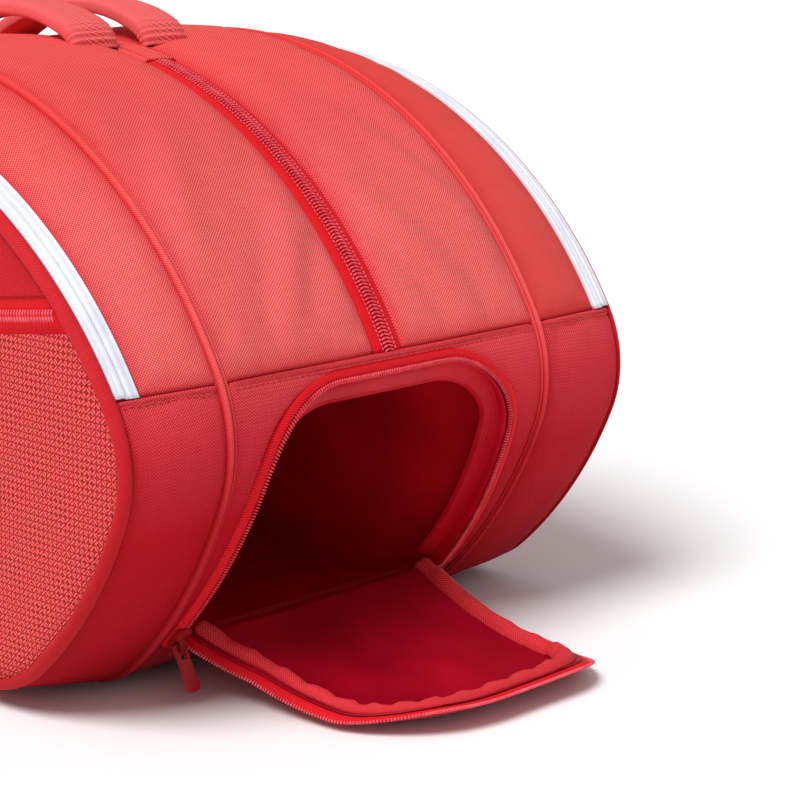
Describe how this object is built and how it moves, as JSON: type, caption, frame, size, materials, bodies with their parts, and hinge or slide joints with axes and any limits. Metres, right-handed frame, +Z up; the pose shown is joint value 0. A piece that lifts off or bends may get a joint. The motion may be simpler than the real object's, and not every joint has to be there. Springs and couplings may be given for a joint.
{
  "type": "racket tournament bag",
  "caption": "Soft domed racket bag with zipped compartments, an arched shoe pocket with a fold-down flap in its head end, grab handles and shoulder straps.",
  "frame": {"origin": "on the floor, at the middle of the base panel, under the middle of the bag's body", "axes": "+X towards the head end with the shoe opening, +Y towards the back with the shoulder straps, +Z up"},
  "size_m": [0.8454, 0.3396, 0.297],
  "materials": {
    "coral_fabric": "woven polyester, coral red",
    "base_fabric": "coarse woven polyester, dark red",
    "dark_twill": "plain twill, darker red",
    "woven_panel": "coarse basket weave, coral red",
    "coral_binding": "folded binding tape",
    "white_zip": "smooth white covered zip",
    "red_zip": "red nylon zip",
    "red_lining": "smooth dark red lining",
    "slider_metal": "enamelled zip slider",
    "tab_plastic": "moulded soft pull tab",
    "strap_fabric": "padded strap, coral face",
    "strap_webbing": "ribbed webbing",
    "buckle_plastic": "moulded ladder-lock buckle"
  },
  "bodies": {
    "bag": {"back_divider": "red_lining", "back_handle_feet": "coral_fabric", "back_lower_gusset": "coral_fabric", "back_lower_panel": "coral_fabric", "back_piping": "coral_binding", "back_top_panel": "coral_fabric", "back_upper_gusset": "coral_fabric", "back_zip_coil": "white_zip", "back_zip_inner_tape": "white_zip", "base_panel": "base_fabric", "centre_zip_coil": "red_zip", "centre_zip_tape_back": "red_zip", "centre_zip_tape_front": "red_zip", "front_divider": "red_lining", "front_handle_feet": "coral_fabric", "front_lower_gusset": "coral_fabric", "front_lower_panel": "woven_panel", "front_piping": "coral_binding", "front_top_panel": "coral_fabric", "front_upper_gusset": "coral_fabric", "front_zip_coil": "white_zip", "front_zip_inner_tape": "white_zip", "head_panel": "coral_fabric", "lower_strap_buckle": "buckle_plastic", "lower_strap_pad": "strap_fabric", "lower_strap_webbing": "strap_webbing", "pocket_backing": "red_lining", "shoe_tunnel": "red_lining", "shoe_zip_coil": "red_zip", "shoe_zip_tape": "red_zip", "tail_panel": "coral_fabric"},
    "shoe_flap": {"flap_panel": "coral_fabric", "flap_lining": "red_lining", "flap_rim": "coral_fabric", "flap_zip_tape": "red_zip", "flap_zip_coil": "red_zip"},
    "front_cover": {"front_cover_panel": "dark_twill", "front_cover_binding": "coral_binding", "front_zip_outer_tape": "white_zip", "pocket_upper_panel": "woven_panel", "pocket_zip_tape": "red_zip", "pocket_zip_coil": "red_zip"},
    "back_cover": {"back_cover_panel": "coral_fabric", "back_cover_binding": "coral_binding", "back_zip_outer_tape": "white_zip", "upper_strap_pad": "strap_fabric", "upper_strap_buckle": "buckle_plastic", "upper_strap_webbing": "strap_webbing"},
    "front_handle": {"front_handle": "coral_fabric"},
    "back_handle": {"back_handle": "coral_fabric"},
    "centre_zip_slider": {"centre_zip_slider": "slider_metal"},
    "centre_zip_tab": {"centre_zip_tab": "tab_plastic"},
    "front_zip_slider": {"front_zip_slider": "slider_metal"},
    "front_zip_tab": {"front_zip_tab": "tab_plastic"},
    "back_zip_slider": {"back_zip_slider": "slider_metal"},
    "back_zip_tab": {"back_zip_tab": "tab_plastic"},
    "pocket_zip_slider": {"pocket_zip_slider": "slider_metal"},
    "pocket_zip_tab": {"pocket_zip_tab": "tab_plastic"},
    "shoe_zip_slider": {"shoe_zip_slider": "slider_metal"},
    "shoe_zip_tab": {"shoe_zip_tab": "tab_plastic"}
  },
  "joints": [
    {"name": "flap_hinge", "type": "hinge", "parent": "bag", "child": "shoe_flap", "pos_m": [0.33007, 0, 0.02372], "axis": [0, -1, 0], "range_deg": [0, 71.4]},
    {"name": "front_cover_fold", "type": "hinge", "parent": "bag", "child": "front_cover", "pos_m": [0.385, -0.1575, 0.154], "axis": [0.9907, 0, 0.1357], "range_deg": [0, 65]},
    {"name": "back_cover_fold", "type": "hinge", "parent": "bag", "child": "back_cover", "pos_m": [0.385, 0.166, 0.154], "axis": [-0.9907, 0, -0.1357], "range_deg": [0, 65]},
    {"name": "front_handle_swing", "type": "hinge", "parent": "bag", "child": "front_handle", "pos_m": [0.088, -0.022, 0.27834], "axis": [0.9969, 0, 0.0781], "range_deg": [-12, 22]},
    {"name": "back_handle_swing", "type": "hinge", "parent": "bag", "child": "back_handle", "pos_m": [0.088, 0.022, 0.27834], "axis": [-0.9969, 0, -0.0781], "range_deg": [-12, 22]},
    {"name": "centre_zip_travel", "type": "slide", "parent": "bag", "child": "centre_zip_slider", "axis": [0.9907, 0, 0.1357], "range_m": [0, 0.4]},
    {"name": "centre_tab_swing", "type": "hinge", "parent": "centre_zip_slider", "child": "centre_zip_tab", "pos_m": [-0.32516, 0, 0.21908], "axis": [0, 1, 0], "range_deg": [0, 150]},
    {"name": "front_zip_travel", "type": "slide", "parent": "front_cover", "child": "front_zip_slider", "axis": [0.9923, 0, 0.1242], "range_m": [0, 0.44]},
    {"name": "front_tab_swing", "type": "hinge", "parent": "front_zip_slider", "child": "front_zip_tab", "pos_m": [-0.32197, -0.1477, 0.20635], "axis": [-0.0333, 0.9633, 0.2664], "range_deg": [0, 150]},
    {"name": "back_zip_travel", "type": "slide", "parent": "back_cover", "child": "back_zip_slider", "axis": [0.9915, 0, 0.1303], "range_m": [0, 0.44]},
    {"name": "back_tab_swing", "type": "hinge", "parent": "back_zip_slider", "child": "back_zip_tab", "pos_m": [-0.32288, 0.15566, 0.21169], "axis": [0.0177, 0.9908, -0.1344], "range_deg": [0, 150]},
    {"name": "pocket_zip_travel", "type": "slide", "parent": "front_cover", "child": "pocket_zip_slider", "axis": [0.9907, 0, 0.1357], "range_m": [0, 0.55]},
    {"name": "pocket_tab_swing", "type": "hinge", "parent": "pocket_zip_slider", "child": "pocket_zip_tab", "pos_m": [-0.30602, -0.1616, 0.09527], "axis": [-0.1357, 0, 0.9907], "range_deg": [0, 150]},
    {"name": "shoe_zip_travel", "type": "hinge", "parent": "bag", "child": "shoe_zip_slider", "pos_m": [0.15678, -0.0725, 0.19049], "axis": [0, -0.9942, 0.1075], "range_deg": [0, 18]},
    {"name": "shoe_tab_swing", "type": "hinge", "parent": "shoe_zip_slider", "child": "shoe_zip_tab", "pos_m": [0.33682, -0.09011, 0.02489], "axis": [0.0536, -0.9968, 0.0595], "range_deg": [0, 85]}
  ]
}
